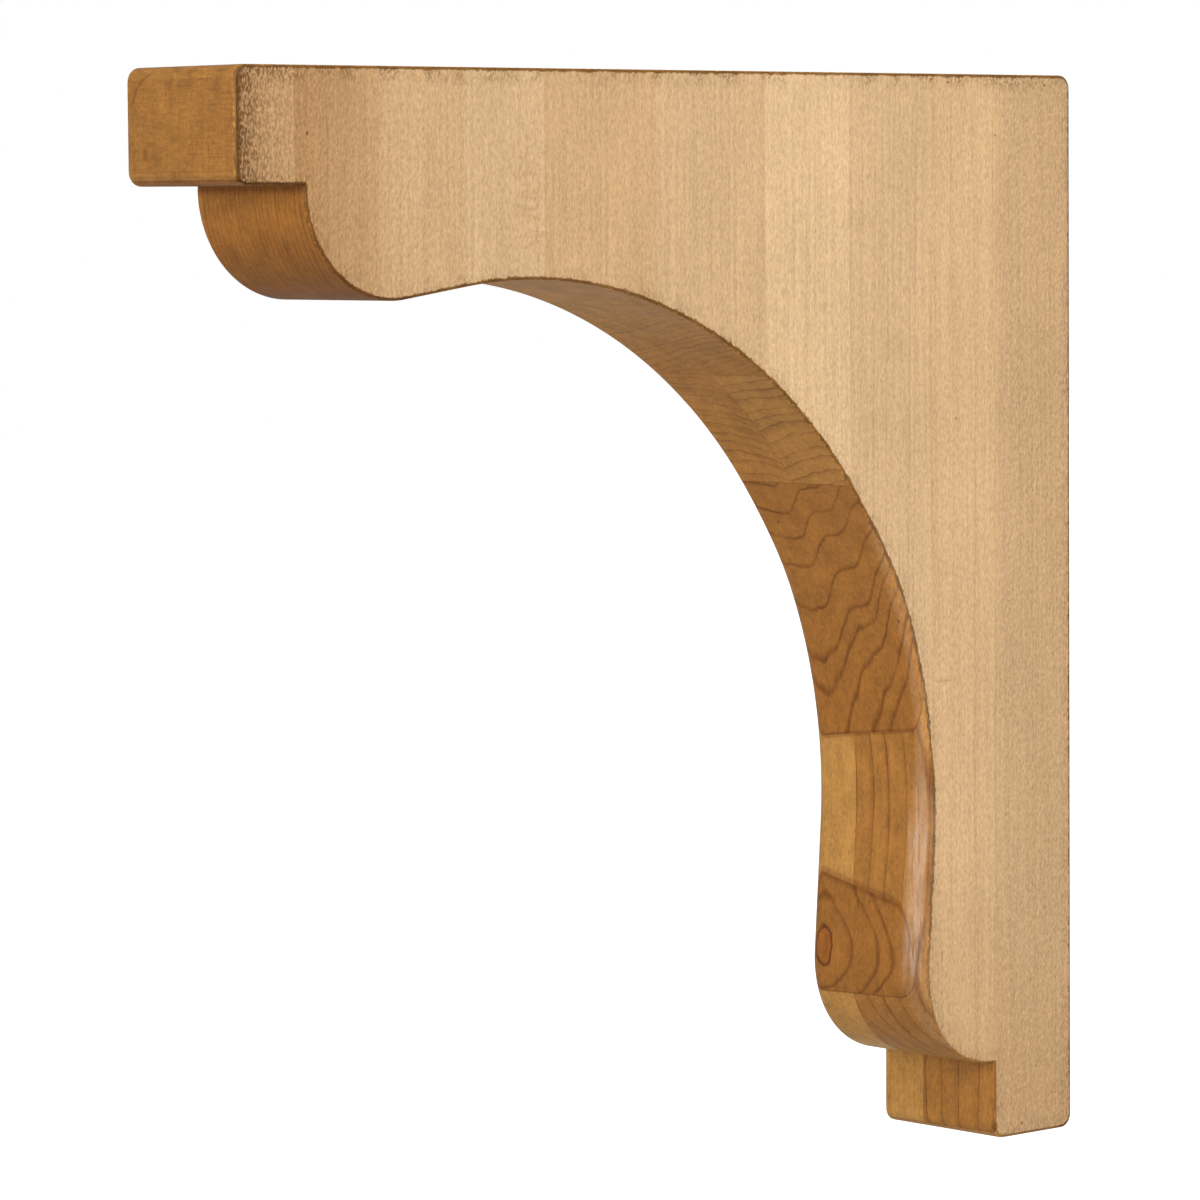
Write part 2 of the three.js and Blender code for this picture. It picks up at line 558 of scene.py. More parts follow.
# %% The stave group
WIDEST_GAP, BRIGHTEST = 10, 2
OUT_OF_TRUE, SAG_STARTS, SAG_FULL = 0.6, -48, -84
TWIST, TWIST_STARTS, TWIST_FULL = 0.0125, 0, -30
JOINT_CORE, JOINT_EDGE = 0.03, 0.14


def by_stave(tree, number, values):
    """Picks one value, or three, for the stave whose number arrives; values lie from 0 to 1."""
    key = calc(tree, "DIVIDE", calc(tree, "ADD", number, 0.5), len(values))
    stops = [(i / len(values), value) for i, value in enumerate(values)]
    return grey_ramp(tree, key, stops, "CONSTANT")


def split_three(tree, colour, low, high):
    """Turns the three channels of a ramp back into three numbers between low and high."""
    return [calc(tree, "MULTIPLY_ADD", part, high - low, low) for part in split(tree, colour)]


def ring_values(side):
    """Lean, pull and bend of every stave, moved from -1..1 to 0..1, for the far or near board."""
    return [tuple((n + 1) / 2 for n in stave["rings"][side][:3]) for stave in STAVES]


def ring_places(side):
    """Middle, gap and line of every stave, as shares of the thickness, the widest gap and one."""
    rings = [stave["rings"][side] for stave in STAVES]
    return [(middle / HALF / 2 + 0.5, gap / WIDEST_GAP, line) for _, _, _, middle, gap, line in rings]


stave_group, given, wanted = new_group(
    "Stave",
    [("Place", VECTOR)],
    [(n, NUMBER) for n in ("Number", "Side shade", "Front shade", "Joint", "Lean", "Pull", "Bend",
                           "Middle", "Gap", "Line")],
)
tree = stave_group
across, y, z = split(tree, given["Place"])
sag = fade(tree, z, SAG_STARTS, SAG_FULL, 0, OUT_OF_TRUE)
twist = fade(tree, z, TWIST_STARTS, TWIST_FULL, 0, TWIST)
sag = calc(tree, "MULTIPLY_ADD", calc(tree, "ADD", across, HALF), twist, sag)
depth = calc(tree, "SUBTRACT", calc(tree, "MULTIPLY", y, -1.0), sag)
number = 0.0
for stave in STAVES[:-1]:
    number = calc(tree, "ADD", number, calc(tree, "GREATER_THAN", depth, stave["face"]))
inner_faces = [0] + [s["face"] for s in STAVES[:-1]]
faces = by_stave(tree, number, [
    (inner / REACH, s["face"] / REACH, s["seam"] / HALF / 2 + 0.5)
    for inner, s in zip(inner_faces, STAVES)
])
inner_face, outer_face, seam_share = split_three(tree, faces, 0, 1)
seam = calc(tree, "MULTIPLY", calc(tree, "SUBTRACT", seam_share, 0.5), 2 * HALF)
near_board = calc(tree, "GREATER_THAN", across, seam)
to_inner = calc(tree, "SUBTRACT", depth, calc(tree, "MULTIPLY", inner_face, REACH))
to_outer = calc(tree, "SUBTRACT", calc(tree, "MULTIPLY", outer_face, REACH), depth)
to_seam = calc(tree, "ABSOLUTE", calc(tree, "SUBTRACT", across, seam))
to_joint = calc(tree, "MINIMUM", calc(tree, "MINIMUM", to_inner, to_outer), to_seam)
joint = fade(tree, to_joint, JOINT_CORE, JOINT_EDGE, 1, 0)
shades = [tuple(s[name] / BRIGHTEST for name in ("side", "far", "near")) for s in STAVES]
shades = by_stave(tree, number, shades)
side_shade, far_shade, near_shade = split_three(tree, shades, 0, BRIGHTEST)
front_shade = mix_number(tree, near_board, far_shade, near_shade)
ways = mix_colour(tree, near_board, by_stave(tree, number, ring_values(0)),
                  by_stave(tree, number, ring_values(1)))
places = mix_colour(tree, near_board, by_stave(tree, number, ring_places(0)),
                    by_stave(tree, number, ring_places(1)))
lean, pull, bend = split_three(tree, ways, -1, 1)
middle_share, gap_share, line_strength = split_three(tree, places, 0, 1)
middle = calc(tree, "MULTIPLY", calc(tree, "SUBTRACT", middle_share, 0.5), 2 * HALF)
results = (number, side_shade, front_shade, joint, lean, pull, bend, middle,
           calc(tree, "MULTIPLY", gap_share, WIDEST_GAP), line_strength)
for socket, value in zip(wanted, results):
    feed(tree, socket, value)
print("The stave group has", len(tree.nodes), "nodes")

# %% [markdown]
# ## Growth rings
#
# The group measures how far a point is across the rings, with a little wander so that no ring is
# drawn with a ruler, and turns the distance into thin dark lines: each year ends in a narrow band
# of dense, dark wood and starts again pale. The dark stave low on the arch keeps its rings calm,
# because it shows the long tongues and the eye that one looks at first. Its rings step down a
# shoulder on the right, their turning line slants a little, and round the eye they close to loops.
# The eye itself is drawn later, and the limit keeps one more ring from crossing it.

# %% The ring group, sizes in millimetres
DARK_STAVE, SLANT, SAME_NUMBER = 2, 0.045, 0.4
FOLD = 2.5
SHOULDER, SHOULDER_AT, SHOULDER_WIDTH = 0.9, 5, 19
SHOULDER_SIDE, SHOULDER_RISE = (-14, -6), (-25, 5)
DOME, EYE_HEIGHT, DOME_WIDTH, DOME_RISE = -2.6, -97.4, (1, 19), (-55, -72)
EYE_EDGE, NO_LIMIT, LIMIT_RISE = 61.05, 1000, (-50, -70)
OTHER_LOG = 331.0
WANDER, WANDER_SIZE, CALM = 3.2, (17, 17, 60), 0.25
WAVER, WAVER_SIZE = 1.3, (4.5, 9, 25)
UNEVEN_YEARS, UNEVEN_PACE = 1.1, 0.7
SEASONS = [(0, 0.15), (0.04, 0), (0.6, 0.0), (0.9, 0.3), (0.96, 1), (1, 0.3)]


def is_dark_stave(tree, number):
    """1 inside the dark stave and 0 in the others."""
    return calc(tree, "COMPARE", number, DARK_STAVE, SAME_NUMBER)


ring_group, given, wanted = new_group(
    "Growth rings",
    [("Place", VECTOR), ("Number", NUMBER), ("Lean", NUMBER), ("Pull", NUMBER), ("Bend", NUMBER),
     ("Middle", NUMBER), ("Gap", NUMBER)],
    [("Across", NUMBER), ("Line", NUMBER)],
)
tree = ring_group
x, y, z = split(tree, given["Place"])
in_dark_stave = is_dark_stave(tree, given["Number"])
slant = calc(tree, "MULTIPLY", in_dark_stave, SLANT)
middle = calc(tree, "MULTIPLY_ADD", slant, z, given["Middle"])
from_middle = calc(tree, "SUBTRACT", x, middle)
curve = calc(tree, "SQRT", calc(tree, "MULTIPLY_ADD", from_middle, from_middle, FOLD ** 2))
across = calc(tree, "MULTIPLY", from_middle, given["Lean"])
across = calc(tree, "MULTIPLY_ADD", y, calc(tree, "MULTIPLY", given["Pull"], -1.0), across)
across = calc(tree, "MULTIPLY_ADD", calc(tree, "SUBTRACT", curve, FOLD), given["Bend"], across)
turns = calc(tree, "SUBTRACT", x, SHOULDER_AT)
shoulder = calc(tree, "SINE", calc(tree, "MULTIPLY", turns, math.tau / SHOULDER_WIDTH))
on_right = fade(tree, x, *SHOULDER_SIDE, 0, SHOULDER)
for mask in (on_right, fade(tree, z, *SHOULDER_RISE), in_dark_stave):
    shoulder = calc(tree, "MULTIPLY", shoulder, mask)
across = calc(tree, "ADD", across, shoulder)
from_eye = calc(tree, "ABSOLUTE", calc(tree, "SUBTRACT", z, EYE_HEIGHT))
dome = fade(tree, from_eye, *DOME_WIDTH, 0, DOME)
dome = calc(tree, "MULTIPLY", dome, fade(tree, z, *DOME_RISE))
across = calc(tree, "MULTIPLY_ADD", dome, in_dark_stave, across)
shift = add_node(tree, "ShaderNodeCombineXYZ")
feed(tree, shift.inputs["Z"], calc(tree, "MULTIPLY", given["Number"], OTHER_LOG))
own_place = vector_calc(tree, "ADD", given["Place"], shift.outputs[0])
wander = swing_about(tree, noise(tree, own_place, WANDER_SIZE, 1), WANDER)
waver = swing_about(tree, noise(tree, own_place, WAVER_SIZE, 2), WAVER)
wander = calc(tree, "MULTIPLY", wander, mix_number(tree, in_dark_stave, 1.0, CALM))
across = calc(tree, "ADD", across, calc(tree, "ADD", wander, waver))
limit = fade(tree, z, *LIMIT_RISE, NO_LIMIT, EYE_EDGE)
limit = calc(tree, "MULTIPLY_ADD", calc(tree, "SUBTRACT", 1.0, in_dark_stave), NO_LIMIT, limit)
across = calc(tree, "MINIMUM", across, limit)
years = calc(tree, "DIVIDE", across, given["Gap"])
uneven = add_node(tree, "ShaderNodeTexNoise", noise_dimensions="1D")
own_years = calc(tree, "ADD", calc(tree, "MULTIPLY", years, UNEVEN_PACE), given["Number"])
feed(tree, uneven.inputs["W"], own_years)
feed(tree, uneven.inputs["Scale"], 1.0)
years = calc(tree, "ADD", years, swing_about(tree, uneven.outputs["Fac"], UNEVEN_YEARS))
feed(tree, wanted["Across"], across)
feed(tree, wanted["Line"], grey_ramp(tree, calc(tree, "FRACT", years), SEASONS))
print("The ring group has", len(tree.nodes), "nodes")

# %% [markdown]
# ## Fibres and pores
#
# Maple's fibres are long and very fine, and its pores are short dark dashes that show only close
# up. Both are noise that is stretched along the grain, which runs upright in the whole bracket.

# %% The fibre group, sizes in millimetres
STREAK_SIZE, PORE_SIZE, GRAIN_SIZE = (1.5, 1.1, 70), (0.42, 0.42, 3.2), (0.7, 0.7, 1.35)
PORES_START, PORES_FULL = 0.62, 0.74
OTHER_FIBRES = 47.0
fibre_group, given, wanted = new_group(
    "Fibres",
    [("Place", VECTOR), ("Number", NUMBER)],
    [(n, NUMBER) for n in ("Streaks", "Pores", "Grain")],
)
tree = fibre_group
shift = add_node(tree, "ShaderNodeCombineXYZ")
feed(tree, shift.inputs["Y"], calc(tree, "MULTIPLY", given["Number"], OTHER_FIBRES))
own_place = vector_calc(tree, "ADD", given["Place"], shift.outputs[0])
feed(tree, wanted["Streaks"], noise(tree, own_place, STREAK_SIZE, 3, 0.6))
pore_noise = noise(tree, own_place, PORE_SIZE, 1)
feed(tree, wanted["Pores"], fade(tree, pore_noise, PORES_START, PORES_FULL))
feed(tree, wanted["Grain"], noise(tree, own_place, GRAIN_SIZE, 2, 0.6))
print("The fibre group has", len(tree.nodes), "nodes")

# %% [markdown]
# ## The maple itself
#
# The flat sides are honey coloured and the carved front a darker, redder brown. That brown is partly
# the wood's own colour and partly painted shade, because the front faces away from the broad side
# light. Both start as one colour times the stave's own shade: a darker stave is also redder, so
# green and blue follow the shade with a higher power. Rings, fibres and joints then darken the wood
# a little each.

# %% Start the material
maple = bpy.data.materials.new("maple")
maple.use_nodes = True
tree = maple.node_tree
surface = tree.nodes["Principled BSDF"]
coordinates = add_node(tree, "ShaderNodeTexCoord").outputs["Object"]
place = vector_calc(tree, "MULTIPLY", coordinates, (1 / MM,) * 3)
stave = place_group(tree, stave_group, Place=place)
rings = place_group(
    tree, ring_group, Place=place, Number=stave["Number"], Lean=stave["Lean"], Pull=stave["Pull"],
    Bend=stave["Bend"], Middle=stave["Middle"], Gap=stave["Gap"],
)
fibres = place_group(tree, fibre_group, Place=place, Number=stave["Number"])


def stored(tree, name):
    """Reads a number that the mesh stores at its vertices."""
    return add_node(tree, "ShaderNodeAttribute", attribute_name=name).outputs["Fac"]


edge_distance = stored(tree, "from_edge")
on_side = fade(tree, edge_distance, -0.15, 0.05)
x, y, z = split(tree, place)
depth = calc(tree, "MULTIPLY", y, -1.0)

# %% Base colour
SIDE_HONEY = (0.47, 0.31, 0.165, 1)
# The front's brown is partly its own colour and partly painted shade, darker than the flat sides.
FRONT_BROWN_WITH_SHADE = (0.388, 0.172, 0.037, 1)
SHADE_POWERS = (1.0, 1.6, 2.4)
base = mix_colour(tree, on_side, FRONT_BROWN_WITH_SHADE, SIDE_HONEY)
shade = mix_number(tree, on_side, stave["Front shade"], stave["Side shade"])
tint = add_node(tree, "ShaderNodeCombineXYZ")
for socket, power in zip(tint.inputs, SHADE_POWERS):
    feed(tree, socket, calc(tree, "POWER", shade, power))
colour = mix_colour(tree, 1.0, base, tint.outputs[0], "MULTIPLY")


def darken(colour, mask, strength, tint):
    """Multiplies the colour by a tint where the mask says, as a thin layer of glaze would."""
    return mix_colour(tree, calc(tree, "MULTIPLY", mask, strength), colour, (*tint, 1), "MULTIPLY")


# %% [markdown]
# ## The rings that one looks at
#
# The dark stave has rings of its own, at measured places instead of even steps: each is given by
# how far it is across the rings, in millimetres. All rings fade in and out along their length, and
# on the flat sides they hardly show.

# %% Rings of the dark stave
RING_RANGE = (50, 92)
RING_INNER, RING_OUTER = 0.006, 0.014
RINGS_ON_SIDE = 0.25
RING_TINT = (0.42, 0.32, 0.22)
DARK_STAVE_RINGS = (52.6, 54.6, 58.3, 61.4, 63.6, 68.5, 73.9, 78.3, 83.0, 88.5)
stops = []
for ring in DARK_STAVE_RINGS:
    centre = (ring - RING_RANGE[0]) / (RING_RANGE[1] - RING_RANGE[0])
    stops += [(centre - RING_INNER, 0.0), (centre, 1.0), (centre + RING_OUTER, 0.0)]
own_rings = grey_ramp(tree, remap(tree, rings["Across"], *RING_RANGE), stops)
in_dark_stave = is_dark_stave(tree, stave["Number"])
ring_line = mix_number(tree, in_dark_stave, rings["Line"], own_rings)
ring_strength = mix_number(tree, on_side, 1.0, RINGS_ON_SIDE)
ring_strength = calc(tree, "MULTIPLY", stave["Line"], ring_strength)
faded = remap(tree, noise(tree, place, (8, 8, 12), 1), 0.3, 0.65, 0.5, 1.0)
ring_strength = calc(tree, "MULTIPLY", ring_strength, faded)
colour = darken(colour, ring_line, ring_strength, RING_TINT)

# %% [markdown]
# ## Uneven stain
#
# Stain never takes evenly. On the sawn front it is blotchy, and on the end block the saw left fine
# level marks that hold it. All of it is noise that makes the colour a little lighter or darker:
# streaks and grain from the fibre group, broad clouds, and the two just named. The pores come last
# and only darken.

# %% Lighter and darker wood, sizes in millimetres
STREAKS, GRAIN = 0.4, 0.8
CLOUDS, CLOUD_SIZE = 0.22, (26, 26, 40)
BLOTCHES, BLOTCH_SIZE = 0.8, (6, 6, 8)
SAW_MARKS, SAW_MARK_SIZE = 1.0, (5, 5, 0.7)
BLOCK_DEPTH = 5.0
PORES, PORE_TINT = 0.28, (0.55, 0.42, 0.3)
streaks = swing_about(tree, fibres["Streaks"], STREAKS)
grain = swing_about(tree, fibres["Grain"], GRAIN)
clouds = swing_about(tree, noise(tree, place, CLOUD_SIZE, 2), CLOUDS)
level = calc(tree, "ADD", calc(tree, "ADD", streaks, grain), calc(tree, "ADD", clouds, 1.0))
on_front = calc(tree, "SUBTRACT", 1.0, on_side)
blotches = swing_about(tree, noise(tree, place, BLOTCH_SIZE, 4, 0.65), BLOTCHES)
level = calc(tree, "MULTIPLY_ADD", blotches, on_front, level)
on_block = calc(tree, "MULTIPLY", calc(tree, "GREATER_THAN", depth, REACH - BLOCK_DEPTH), on_front)
saw_marks = swing_about(tree, noise(tree, place, SAW_MARK_SIZE, 3, 0.65), SAW_MARKS)
level = calc(tree, "MULTIPLY_ADD", saw_marks, on_block, level)
colour = mix_colour(tree, 1.0, colour, level, "MULTIPLY")
colour = darken(colour, fibres["Pores"], PORES, PORE_TINT)

# %% [markdown]
# ## Glue joints
#
# A joint is a hairline of glue, which shows more on the brown front than on the flat sides.

# %% Draw the joints
JOINT_ON_FRONT, JOINT_ON_SIDE, JOINT_TINT = 0.55, 0.22, (0.45, 0.33, 0.22)
joint_strength = mix_number(tree, on_side, JOINT_ON_FRONT, JOINT_ON_SIDE)
colour = darken(colour, stave["Joint"], joint_strength, JOINT_TINT)

# %% [markdown]
# ## Glaze along the edges
#
# Before the lacquer, a dark glaze was wiped over the bracket. It stayed on every broken edge as a
# thin dark line, in the pores beside the edges as speckle, and thickest on the end of the arm. The
# masks fade with the stored distance from the edge and are broken up by fine noise.

# %% Glaze masks
GLAZE = (0.10, 0.043, 0.006, 1)
ROUND_WIDTH = EDGE_RADIUS / MM * QUARTER
speckle = fade(tree, noise(tree, place, (0.65, 0.65, 1.2), 2, 0.6), 0.4, 0.62)
patchy = noise(tree, place, (7, 7, 9), 2, 0.6)
ragged = swing_about(tree, noise(tree, place, (1.2, 1.2, 1.6), 2, 0.6), 2.2)


def stain(colour, mask, strength):
    """Covers the colour with the dark glaze where the mask says."""
    return mix_colour(tree, calc(tree, "MULTIPLY", mask, strength), colour, GLAZE)


def both(*masks):
    """Multiplies masks: dark only where all of them are."""
    result = masks[0]
    for mask in masks[1:]:
        result = calc(tree, "MULTIPLY", result, mask)
    return result


# %% [markdown]
# The line starts on the flat side, a hair from its edge, and runs over the broken edge, with a
# ragged border on both sides. Low on the foot, away from the wall, it is fainter.

# %% Dark line on the broken edges, in millimetres
RAGGED_SHARE, LINE_OUTSIDE = 0.8, 0.4
WIDER_ABOVE, WIDER, NARROWER_BELOW, NARROWER = 25, 0.35, -5, 0.5
LINE_BORDER = 0.3
FAINTER_FROM, FAINT_AT, FAINT = -95, -120, 0.45
WALL_FROM, WALL_AT = 12, 4
LINE_STRENGTH = 0.93
reach_out = calc(tree, "ADD", edge_distance, calc(tree, "MULTIPLY", ragged, RAGGED_SHARE))
outer_half = fade(tree, reach_out, 0.0, LINE_OUTSIDE, 1.0, 0.0)
line_width = fade(tree, z, WIDER_ABOVE, NARROWER_BELOW, ROUND_WIDTH - WIDER, ROUND_WIDTH - NARROWER)
inner_half = fade(tree, calc(tree, "ADD", reach_out, line_width), -LINE_BORDER, LINE_BORDER)
low_down = fade(tree, z, FAINTER_FROM, FAINT_AT, 1.0, FAINT)
low_down = calc(tree, "MAXIMUM", low_down, fade(tree, depth, WALL_FROM, WALL_AT))
edge_line = both(outer_half, inner_half, low_down, remap(tree, patchy, 0.35, 0.6, 0.65, 1.0))
colour = stain(colour, edge_line, LINE_STRENGTH)

# %% [markdown]
# Beside the line the glaze sits in the pores. It is dense on the last centimetre of the arm, thins
# out over the next few, and is only a trace along the arm and by the wall. Under the top and
# beside the edges it comes in patches.

# %% Speckle beside the edges, in millimetres
FIELDS = [
    # what is measured, where the field starts and is full, what else limits it, its strength
    (calc(tree, "ADD", depth, ragged), (REACH - 2.6, REACH - 1.2), (), 0.9),
    (depth, (REACH - 12.0, REACH - 1.5), (remap(tree, speckle, 0, 1, 0.35, 1.0),), 0.9),
    (depth, (REACH - 40.0, REACH - 4.0), (speckle,), 0.34),
    (depth, (33, 27), (speckle,), 0.1),
    (depth, (REACH - 130.0, REACH - 60.0), (speckle,), 0.07),
    (z, (top / MM - 6.0, top / MM - 0.5), (speckle, fade(tree, patchy, 0.42, 0.62)), 0.45),
    (edge_distance, (5.0, 0.3), (speckle, fade(tree, patchy, 0.35, 0.6)), 0.3),
]
for measured, span, limits, strength in FIELDS:
    colour = stain(colour, both(fade(tree, measured, *span), on_side, *limits), strength)
print(len(FIELDS), "fields of dark speckle")

# %% [markdown]
# A thin wash of the same glaze lies over the end of the arm, the foot and, fainter, the wall side.

# %% Wide, thin glaze
THIN_GLAZE, WASH = (0.72, 0.57, 0.40), 0.75
ARM_WASH, FOOT_WASH, WALL_WASH = (REACH - 62, REACH - 8), (-60, -150), (45, 4)
FOOT_SHARE, WALL_SHARE = 0.5, 0.22
foot_wide = calc(tree, "MULTIPLY", fade(tree, z, *FOOT_WASH), FOOT_SHARE)
wall_wide = calc(tree, "MULTIPLY", fade(tree, depth, *WALL_WASH), WALL_SHARE)
wide = calc(tree, "MAXIMUM", fade(tree, depth, *ARM_WASH), foot_wide)
wide = calc(tree, "MAXIMUM", wide, wall_wide)
colour = darken(colour, both(wide, on_side), WASH, THIN_GLAZE)

# %% [markdown]
# ## The front, part by part
#
# On the sawn front the glaze stayed in the corner under the end block, which is darkened further as
# painted shadow. The block's rounded corners, which look up or down, are darkened as painted shade.
# The lower part of the arch, the dark stave and the bulge under the arm are darker as a whole, and
# the bulge darkens further as it turns under, partly glaze that ran there and partly painted shade.

# %% Darker parts of the front
under_block = top / MM - END_BLOCK_HEIGHT / MM
upward = stored(tree, "upward")
on_arm = fade(tree, depth, REACH - 66, REACH - 50)
corner_glaze_and_shadow = fade(tree, z, under_block - 3.0, under_block - 0.4)
not_above = calc(tree, "LESS_THAN", z, under_block + 1.5)
at_block = fade(tree, depth, REACH - 6.0, REACH - 3.5)
on_upper_half = calc(tree, "GREATER_THAN", z, under_block + 15)
not_under = calc(tree, "MAXIMUM", on_upper_half, fade(tree, upward, 0.85, 0.5))
DARKER_PARTS = [
    # masks, strength, tint
    # glaze in the corner under the end block, darkened further as painted shadow
    ((corner_glaze_and_shadow, not_above, on_arm), 0.75, (0.42, 0.30, 0.16)),
    # painted shade on the end block's rounded corners, which look up or down
    ((fade(tree, upward, 0.0, 0.4), at_block, not_under), 0.8, (0.62, 0.55, 0.45)),
    ((fade(tree, z, -15, -80),), 1.0, (0.92, 0.92, 0.90)),
    ((fade(tree, z, 25, -30), in_dark_stave), 1.0, (0.93, 0.90, 0.84)),
    # the bulge darker as it turns under: partly glaze that ran there, partly painted shade
    ((fade(tree, z, under_block - 1, under_block - 25), on_arm), 0.75, (0.5, 0.42, 0.25)),
    ((calc(tree, "LESS_THAN", z, under_block - 0.5), on_arm), 1.0, (0.98, 0.90, 0.76)),
]
for masks, strength, darker in DARKER_PARTS:
    colour = darken(colour, both(*masks, on_front), strength, darker)
print(len(DARKER_PARTS), "darker parts")

# %% [markdown]
# Under the crown of the arch, where the front looks down, the wood is made pale and grey: a painted
# reflection of the white floor, which a satin surface shows there at a grazing angle.

# %% Painted reflection under the crown
CROWN_REFLECTION_PALE = (1.24, 1.45, 2.1, 1)
off_arm = fade(tree, depth, REACH - 75, REACH - 95)
crown_reflection = both(fade(tree, upward, 0.78, 0.98), off_arm, on_front)
colour = mix_colour(tree, crown_reflection, colour, mix_colour(tree, 1.0, colour, CROWN_REFLECTION_PALE, "MULTIPLY"))

# %% [markdown]
# ## Small marks
#
# A real board has a few pin knots and scratches. Each is a tiny ellipsoid of darker wood, given by
# its centre, its half sizes and its strength. The ones on the flat side lie on the face that was
# photographed; the other side stays clean. Three of them are large and faint.

# %% Pin knots and scratches
WOBBLE, WOBBLE_SIZE = 0.5, (3, 3, 3)
mark_group, given, wanted = new_group(
    "Mark", [("Place", VECTOR), ("Centre", VECTOR), ("Size", VECTOR)], [("Mask", NUMBER), ("Away", NUMBER)]
)
away = vector_calc(mark_group, "SUBTRACT", given["Place"], given["Centre"])
away = vector_calc(mark_group, "LENGTH", vector_calc(mark_group, "DIVIDE", away, given["Size"]))
wobble = swing_about(mark_group, noise(mark_group, given["Place"], WOBBLE_SIZE), WOBBLE)
away = calc(mark_group, "ADD", away, wobble)
feed(mark_group, wanted["Mask"], fade(mark_group, away, 0.5, 1.0, 1.0, 0.0))
feed(mark_group, wanted["Away"], away)

MARKS = [
    # centre in mm, half sizes in mm, strength
    ((HALF, -281.5, 135.1), (1, 0.6, 0.7), 0.8),
    ((HALF, -283.9, 122.2), (1, 0.9, 0.6), 0.8),
    ((HALF, -281.7, 121.5), (1, 0.6, 0.9), 0.7),
    ((HALF, -56.7, 150.9), (1, 0.6, 0.5), 0.7),
    ((HALF, -49.9, 150.0), (1, 0.6, 0.5), 0.8),
    ((HALF, -10.6, 149.5), (1, 0.6, 0.6), 0.8),
    ((HALF, -30.9, 135.2), (1, 0.4, 0.5), 0.6),
    ((HALF, -47.0, 55.4), (1, 0.5, 0.6), 0.6),
    ((HALF, -20.7, -149.0), (1, 0.6, 0.5), 0.7),
    ((HALF, -31.6, -148.8), (1.6, 1.0, 1.8), 0.7),
    ((HALF, -53.4, -97.2), (1, 0.4, 2.2), 0.4),
    ((HALF, -51.8, -102.8), (1, 0.4, 1.5), 0.35),
    ((HALF, -51.8, -18.8), (1, 6.5, 0.35), 0.22),
    ((HALF, -84.9, 111.6), (1, 8, 4), 0.07),
    ((HALF, -69.4, 75.2), (1, 11, 5), 0.07),
    ((HALF, -79.4, 55.9), (1, 9, 4), 0.06),
    ((19.3, -67.8, -1.1), (0.6, 2.0, 0.8), 0.8),
    ((-15.0, -76.6, 18.5), (0.6, 2.0, 0.7), 0.6),
    ((-15.3, -81.0, 26.1), (0.6, 2.0, 0.7), 0.6),
    ((-14.7, -304.8, 130.0), (1.3, 1.0, 1.8), 0.4),
]
for centre, size, strength in MARKS:
    mask = place_group(tree, mark_group, Place=place, Centre=centre, Size=size)["Mask"]
    colour = stain(colour, mask, strength)
print(len(MARKS), "marks")

# %% [markdown]
# ## The eye, the flecks and a ring on the end block
#
# The eye is where the arch just grazes one ring: a reddish oval with a dark outline, low on the
# arch. On the arm a small patch of flecks shows where the wood's rays come to the surface, and the
# face of the end block cuts one ring, which shows as a short arc.

# %% The eye
EYE_CENTRE, EYE_SIZE = (-17.3, -61.8, EYE_HEIGHT), (3.2, 8.0, 5.7)
EYE_TINT, OUTLINE_STRENGTH = (1.0, 0.84, 0.74), 0.95
OUTLINE_CORE, OUTLINE_EDGE = 0.04, 0.16
eye = place_group(tree, mark_group, Place=place, Centre=EYE_CENTRE, Size=EYE_SIZE)
inside = fade(tree, eye["Away"], 0.9, 1.0, 1.0, 0.0)
from_outline = calc(tree, "ABSOLUTE", calc(tree, "SUBTRACT", eye["Away"], 1.0))
outline = fade(tree, from_outline, OUTLINE_CORE, OUTLINE_EDGE, 1.0, 0.0)
colour = darken(colour, inside, 1.0, EYE_TINT)
colour = darken(colour, outline, OUTLINE_STRENGTH, RING_TINT)
print("The eye is", 2 * EYE_SIZE[0], "mm wide and", 2 * EYE_SIZE[2], "mm high")

# %% The flecks
FLECK_SIZE, FLECKS, FLECK_TINT = (4, 7, 1.3), 0.5, (0.86, 0.80, 0.72)
PATCH_DEPTHS, PATCH_HEIGHTS = ((198, 203), (214, 210)), ((102, 107), (134, 129))
flecks = fade(tree, noise(tree, place, FLECK_SIZE, 1), 0.5, 0.62)
patch = [fade(tree, depth, *span) for span in PATCH_DEPTHS]
patch += [fade(tree, z, *span) for span in PATCH_HEIGHTS]
colour = darken(colour, both(flecks, *patch, on_side), FLECKS, FLECK_TINT)

# %% The ring on the end block
RING_CENTRE, RING_RADIUS, RING_STRENGTH = (-8.5, -REACH, 139.5), 11.8, 0.5
from_ring = vector_calc(tree, "DISTANCE", place, RING_CENTRE)
from_ring = calc(tree, "ABSOLUTE", calc(tree, "SUBTRACT", from_ring, RING_RADIUS))
ring_arc = both(
    fade(tree, from_ring, 0.1, 0.7, 1.0, 0.0), fade(tree, x, -9.5, -13.5), fade(tree, z, 141, 144), on_block
)
colour = stain(colour, ring_arc, RING_STRENGTH)

# %% [markdown]
# ## The worn strip and the lacquer
#
# Where the sander ran over the edge it also took some stain away, so that strip is paler. In
# streaks it is painted paler and whiter still, as a painted highlight beside the real shine. The
# lacquer lies thicker there and shines, while it has sunk in elsewhere.

# %% Worn strip, paler and with a painted highlight
PALER_AND_HIGHLIGHT, STREAKED_SIZE = (1.02, 1.15, 1.4, 1), (0.8, 0.8, 26)
polished = stored(tree, "worn")
paler_and_highlight = mix_colour(tree, 1.0, colour, PALER_AND_HIGHLIGHT, "MULTIPLY")
streaked = remap(tree, noise(tree, place, STREAKED_SIZE, 2, 0.6), 0.35, 0.65, 0.2, 1.0)
colour = mix_colour(tree, both(fade(tree, polished, 0.0, 0.16), streaked), colour, paler_and_highlight)

# %% [markdown]
# The lacquer is a coat over the wood. A fine relief of fibres lies under it, and where it was
# sprayed thick, at the end of the arm and by the wall, it dried like orange peel.

